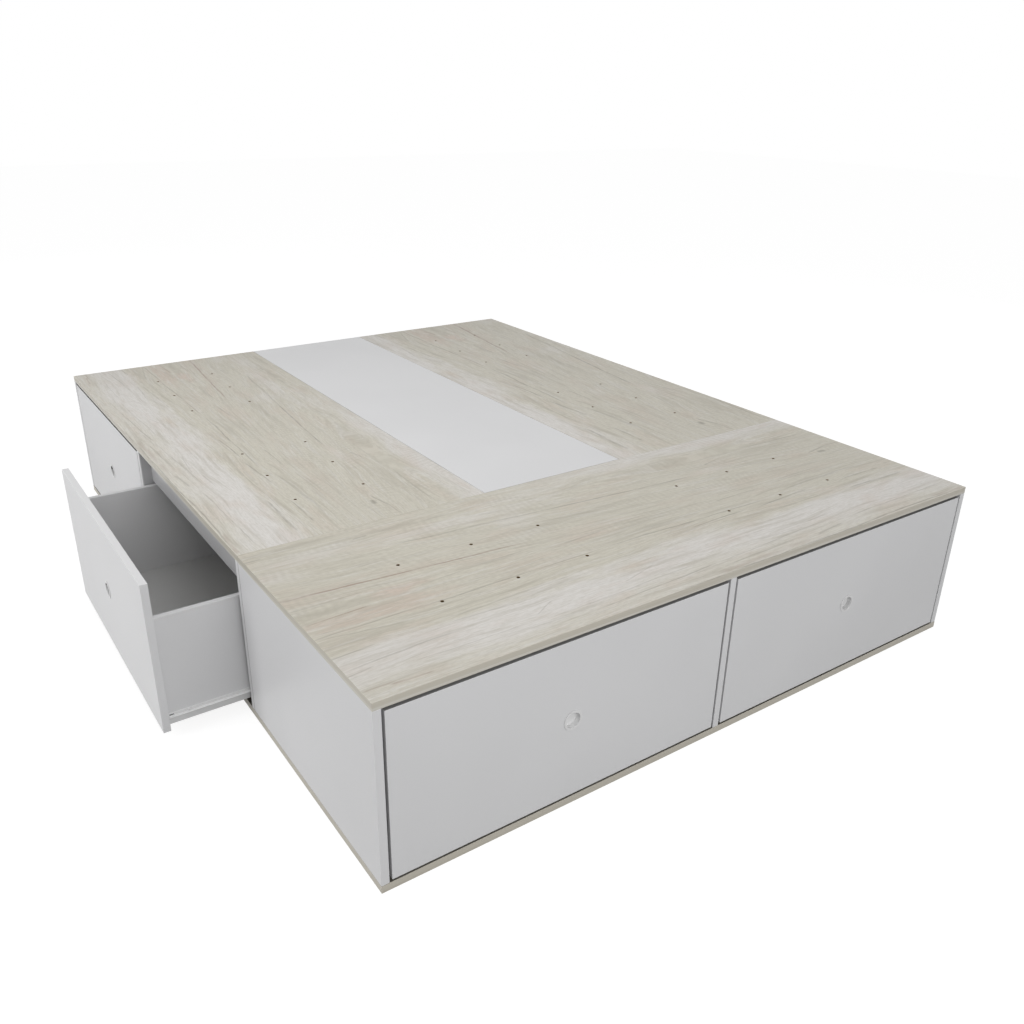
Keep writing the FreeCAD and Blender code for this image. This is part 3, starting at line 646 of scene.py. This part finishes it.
def white_melamine(name, code, inside=0.0, top_edge_shade=0.0, slotted=None):
    """White melamine board: a faint peel, faint cloudiness, and painted shade at the joint between
    the modules.

    It is greyer with painted shade by the share inside where it lies within the modules, and darker
    with painted shade by a second share on edges that face up. The outer faces of the drawer sides
    named slotted carry painted shade behind the slots of their runners.
    """
    finish, tree, shader = new_finish(name, specular=0.3)
    point, (x, y, z) = tree.place()
    cloud = tree.noise(point, scale=3.5, detail=1)
    base = colour(code)
    dull = tuple(part * CLOUDY_SHARE for part in base[:3]) + (1,)
    tone = tree.mix(tree.smooth(cloud, 0.35, 0.65, high=0.55), base, dull)
    speck = tree.smooth(tree.noise(point, scale=520, detail=1), 0.62, 0.80, high=0.10)
    tone = tree.mix(speck, tone, colour(SPECK_GREY))
    # Painted shade in the seam between the modules
    beside = tree.math("ABSOLUTE", tree.math("SUBTRACT", y, MODULE_DEPTH))
    tone = tree.mix(tree.smooth(beside, *JOINT_FADE), tone, colour(JOINT_PAINTED_SHADE))
    # Painted shade inside the modules
    if inside:
        sides = tree.math("SUBTRACT", HALF_WIDTH, tree.math("ABSOLUTE", x))
        ends = tree.math("MINIMUM", y, tree.math("SUBTRACT", BED_LENGTH, y))
        inward = tree.math("MINIMUM", sides, ends)
        inward = tree.math("MINIMUM", inward, tree.math("SUBTRACT", BED_HEIGHT, z))
        within = tree.smooth(inward, *INWARD_FADE, high=inside)
        tone = tree.mix(within, tone, colour(IN_MODULE_PAINTED_SHADE))
    # Painted shade on edges that face up, in the gap under the top boards
    if top_edge_shade:
        upwards = tree.smooth(tree.normal()[2], *SHADED_TOP_EDGE, high=top_edge_shade)
        tone = tree.mix(upwards, tone, colour(TOP_EDGE_PAINTED_SHADE))
    # Painted shade on the drawer sides behind the runners' slots
    if slotted:
        low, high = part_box(slotted)
        part, start, end = (x, low.x, high.x) if slotted.startswith("foot") else (y, low.y, high.y)
        outer = tree.smooth(tree.between(part, start, end), *FACE_FADE)
        behind = tree.math("MULTIPLY", outer, at_slot(tree, z))
        tone = tree.mix(behind, tone, colour(SLOT_PAINTED_SHADE))
    tree.feed(shader.inputs["Base Color"], tone)
    peel = tree.noise(point, scale=640, detail=1)
    give_roughness(tree, shader, peel, low=0.34, high=0.44)
    give_bump(tree, shader, peel, MELAMINE_PEEL)
    return finish


def drawer_sheet():
    """Thin fibreboard for the drawer bottoms, white on its upper face and edges and brown below."""
    finish, tree, shader = new_finish("white fibreboard sheet", specular=0.35)
    point, _ = tree.place()
    downwards = tree.math("LESS_THAN", tree.normal()[2], LOWER_FACE)
    felted = tree.noise(point, scale=420, detail=4)
    brown = tree.mix(felted, colour(FELT_BROWN), colour(FELT_LIGHT))
    white = tree.mix(tree.noise(point, scale=4), colour(SHEET_WHITE), colour(SHEET_DULL))
    tree.feed(shader.inputs["Base Color"], tree.mix(downwards, white, brown))
    give_roughness(tree, shader, felted, low=0.42, high=0.55)
    give_bump(tree, shader, felted, MELAMINE_PEEL)
    return finish


def pine():
    """Planed pine for the cleats, with its grain along the bed."""
    finish, tree, shader = new_finish("planed pine", specular=0.3)
    _, (x, y, z) = tree.place()
    across = tree.math("MULTIPLY", x, PINE_ACROSS)
    along = tree.math("MULTIPLY", y, PINE_ALONG)
    rings = tree.vector(across, along, tree.math("MULTIPLY", z, PINE_ACROSS))
    grain = tree.noise(rings, detail=4)
    tone = tree.mix(tree.smooth(grain, 0.35, 0.65), colour(PINE_LIGHT), colour(PINE_BROWN))
    tree.feed(shader.inputs["Base Color"], tone)
    give_roughness(tree, shader, grain, low=0.5, high=0.62)
    give_bump(tree, shader, grain, PRINT_GROOVE)
    return finish


def coated_steel():
    """Powder-coated white steel for the runners, with painted light on upper faces and painted
    shade in the slots.
    """
    finish, tree, shader = new_finish("white coated steel")
    point, (_, _, z) = tree.place()
    rise = tree.normal()[2]
    peel = tree.noise(point, scale=480, detail=1)
    rubbed = tree.noise(point, scale=14, detail=1)
    worn = tree.smooth(rubbed, 0.45, 0.75, high=0.3)
    tone = tree.mix(worn, colour(STEEL_WHITE), colour(STEEL_RUBBED))
    # Painted light on upper faces
    tone = tree.mix(tree.smooth(rise, *UPPER_FACE), tone, colour(STEEL_PAINTED_LIGHT))
    # Painted shade on the faces of the slots
    level = tree.smooth(tree.math("ABSOLUTE", rise), *UPPER_FACE)
    tone = tree.mix(tree.math("MULTIPLY", level, at_slot(tree, z)), tone, colour(SLOT_PAINTED_SHADE))
    tree.feed(shader.inputs["Base Color"], tone)
    give_roughness(tree, shader, rubbed, low=0.32, high=0.46)
    give_bump(tree, shader, peel, STEEL_PEEL)
    return finish


def pull_plastic(name):
    """Moulded white plastic for one round pull.

    The cup's floor, its wall and the upper part of that wall each carry painted light and shade,
    and a painted shadow line runs round the rim.
    """
    finish, tree, shader = new_finish(f"white plastic {name}")
    at_foot = name.startswith("foot")
    cup_floor_light = CUP_FLOOR_PAINTED_LIGHT_AT_FOOT if at_foot else CUP_FLOOR_PAINTED_LIGHT_AT_SIDE
    drawer = next(start for start in PULL_PAINTED_LIGHT_AND_SHADE if name.startswith(start))
    wall, upper_wall_shading, upper_start, rim_shadow = PULL_PAINTED_LIGHT_AND_SHADE[drawer]
    point, (x, y, z) = tree.place()
    low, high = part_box(name)
    middle = (low + high) / 2
    if at_foot:
        depth = tree.math("SUBTRACT", y, low.y)
        sideways = tree.math("SUBTRACT", x, middle.x)
    elif "left" in name:
        depth = tree.math("SUBTRACT", x, low.x)
        sideways = tree.math("SUBTRACT", y, middle.y)
    else:
        depth = tree.math("SUBTRACT", high.x, x)
        sideways = tree.math("SUBTRACT", y, middle.y)
    upwards = tree.math("SUBTRACT", z, middle.z)
    squares = tree.math("MULTIPLY_ADD", sideways, sideways, tree.math("MULTIPLY", upwards, upwards))
    away = tree.math("SQRT", squares)
    mould = tree.noise(point, scale=900, detail=2)
    tone = tree.mix(tree.noise(point, scale=60), colour(PLASTIC_WHITE), colour(PLASTIC_DULL))
    # Painted shade on the cup's wall
    tone = tree.mix(tree.smooth(depth, *WALL_DEPTHS), tone, colour(wall))
    # Painted light on the cup's floor
    tone = tree.mix(tree.smooth(depth, *CUP_FLOOR_DEPTHS), tone, colour(cup_floor_light))
    # Painted shade under the lip, and painted light there on the foot's right pull
    upper = tree.smooth(upwards, upper_start, upper_start + UPPER_WALL_BLEND)
    for part in (
        tree.smooth(away, *MOUTH_RADII),
        tree.smooth(depth, *UPPER_WALL_DEPTHS),
        tree.smooth(depth, *reversed(CUP_FLOOR_DEPTHS)),
    ):
        upper = tree.math("MULTIPLY", upper, part)
    tone = tree.mix(upper, tone, colour(upper_wall_shading))
    # A painted shadow line round the rim
    rim = tree.smooth(away, *RIM_RADII, high=rim_shadow)
    rim = tree.math("MULTIPLY", rim, tree.smooth(depth, *RIM_DEPTHS))
    tone = tree.mix(rim, tone, colour(RIM_SHADOW_GREY))
    tree.feed(shader.inputs["Base Color"], tone)
    give_roughness(tree, shader, mould, low=0.26, high=0.36)
    give_bump(tree, shader, mould, MELAMINE_PEEL)
    return finish


def zinc_steel():
    """Bright zinc-plated steel for screws and bolts."""
    finish, tree, shader = new_finish("zinc-plated steel")
    point, _ = tree.place()
    bloom = tree.noise(point, scale=260, detail=3)
    tree.feed(shader.inputs["Metallic"], 1.0)
    tree.feed(shader.inputs["Base Color"], tree.mix(bloom, colour(ZINC_BRIGHT), colour(ZINC_DULL)))
    give_roughness(tree, shader, bloom, low=0.22, high=0.42)
    give_bump(tree, shader, bloom, STEEL_PEEL)
    return finish


def paint(names, finish):
    """Give CAD nodes a finish."""
    for name in names:
        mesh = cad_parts[name].data
        mesh.materials.clear()
        mesh.materials.append(finish)


def finish_pieces():
    """Every packed board, runner, pull and screw gets its finish."""
    group = oak_print_group()
    stretch = BED_WIDTH / SIDE_LENGTH

    def from_left(tree, x, y):
        """Metres from the left side of the bed base."""
        return tree.math("ADD", x, HALF_WIDTH)

    def from_foot(tree, x, y):
        """Metres from the foot edge."""
        return y

    def from_head(tree, x, y):
        """Metres from the head end, with the side boards' length drawn out to the print's."""
        return tree.math("MULTIPLY", tree.math("SUBTRACT", BED_LENGTH, y), stretch)

    def on_right(tree, x, y):
        """Metres across the enlarged print of the right boards."""
        return tree.math("DIVIDE", tree.math("SUBTRACT", x, RIGHT_PRINT_START), RIGHT_PRINT_SCALE)

    prints = {
        "foot": (from_left, from_foot),
        "left": (from_head, from_left),
        "right": (from_head, on_right),
    }
    for side, (along, across) in prints.items():
        for level in ("top", "bottom"):
            name = f"{side}_module_{level}_board"
            low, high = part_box(name)
            # Bottom boards get painted shade on their upper faces
            shade, band_low = (0.8, BAND_DULL) if level == "bottom" else (0, BAND_PALE)
            label = f"oak print {side} {level}"
            finish = oak_board(label, group, along, across, low, high, shade, band_low)
            paint([name], finish)

    def named(*endings):
        """The nodes whose names end so."""
        return [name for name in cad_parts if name.endswith(endings)]

    # The carcass boards get painted shade within the modules
    white = white_melamine("white carcass melamine", WHITE, inside=0.45)
    paint([*named("_panel", "_divider", "_back_board"), "front_rails"], white)
    open_front = "middle_left_drawer_front"
    closed_fronts = [name for name in named("_front") if name != open_front]
    # The closed fronts get painted shade on their upper edges, the open one none
    paint(closed_fronts, white_melamine("white front", WHITE, top_edge_shade=0.7))
    paint([open_front], white_melamine("white open front", WHITE))
    paint(named("_drawer_back"), white_melamine("white drawer melamine", DRAWER_WHITE))
    for name in named("_drawer_sides"):
        paint([name], white_melamine(f"white {name}", DRAWER_WHITE, slotted=name))
    paint(named("_drawer_bottom"), drawer_sheet())
    paint(named("_runners"), coated_steel())
    for name in named("_pull"):
        paint([name], pull_plastic(name))
    paint(["centre_cleats"], pine())
    paint(["wood_screws", "connector_bolts"], zinc_steel())


def make_camera():
    """The photograph's camera."""
    camera = bpy.data.cameras.new("camera")
    camera.lens = CAMERA_LENS_MM
    camera.sensor_width = SENSOR_MM
    holder = bpy.data.objects.new("camera", camera)
    bpy.context.scene.collection.objects.link(holder)
    towards = (CAMERA_AIM - CAMERA_PLACE).to_track_quat("-Z", "Y").to_matrix().to_4x4()
    roll = Matrix.Rotation(CAMERA_ROLL, 4, "Z")
    holder.matrix_world = Matrix.Translation(CAMERA_PLACE) @ towards @ roll
    bpy.context.scene.camera = holder


def seen_directly(tree):
    """1 where the camera looks, straight or in a reflection, and 0 for the light itself."""
    path = tree.node("ShaderNodeLightPath").outputs
    seen = tree.math("MAXIMUM", path["Is Camera Ray"], path["Is Glossy Ray"])
    return tree.math("MAXIMUM", seen, path["Is Transmission Ray"])


def make_floor():
    """A wide floor that looks white to the camera and keeps the object's shadow."""
    bpy.ops.object.select_all(action="DESELECT")
    bpy.ops.mesh.primitive_plane_add(size=2 * FLOOR_HALF, location=(0, BED_LENGTH / 2, 0))
    floor = bpy.context.object
    floor.name = "floor"
    bpy.ops.object.transform_apply(location=True, rotation=True, scale=True)
    finish, tree, shader = new_finish("white floor", roughness=0.9, specular=0.0)
    tree.feed(shader.inputs["Base Color"], colour(FLOOR_GREY))
    tree.feed(shader.inputs["Emission Color"], (1, 1, 1, 1))
    glow = tree.math("MULTIPLY", seen_directly(tree), FLOOR_GLOW)
    tree.feed(shader.inputs["Emission Strength"], glow)
    floor.data.materials.append(finish)


def make_lights():
    """Soft studio light: an even world, a lamp over the middle and large ones all round."""
    world = bpy.data.worlds.new("studio")
    bpy.context.scene.world = world
    world.use_nodes = True
    tree = Tree(world.node_tree)
    backdrop = next(node for node in world.node_tree.nodes if node.type == "BACKGROUND")
    tree.feed(backdrop.inputs["Color"], (1, 1, 1, 1))
    tree.feed(backdrop.inputs["Strength"], tree.smooth(seen_directly(tree), 0, 1, ROOM_LIGHT, 1))
    for name, place, aim, size, watts in LAMPS:
        lamp = bpy.data.lights.new(name, "AREA")
        lamp.shape = "SQUARE"
        lamp.size = size
        lamp.energy = watts
        holder = bpy.data.objects.new(name, lamp)
        bpy.context.scene.collection.objects.link(holder)
        holder.location = place
        aimed = Vector(aim) - Vector(place)
        holder.rotation_euler = aimed.to_track_quat("-Z", "Y").to_euler()
        holder.visible_camera = False


make_camera()
finish_pieces()
make_floor()
make_lights()
bpy.context.scene.view_settings.view_transform = "Standard"
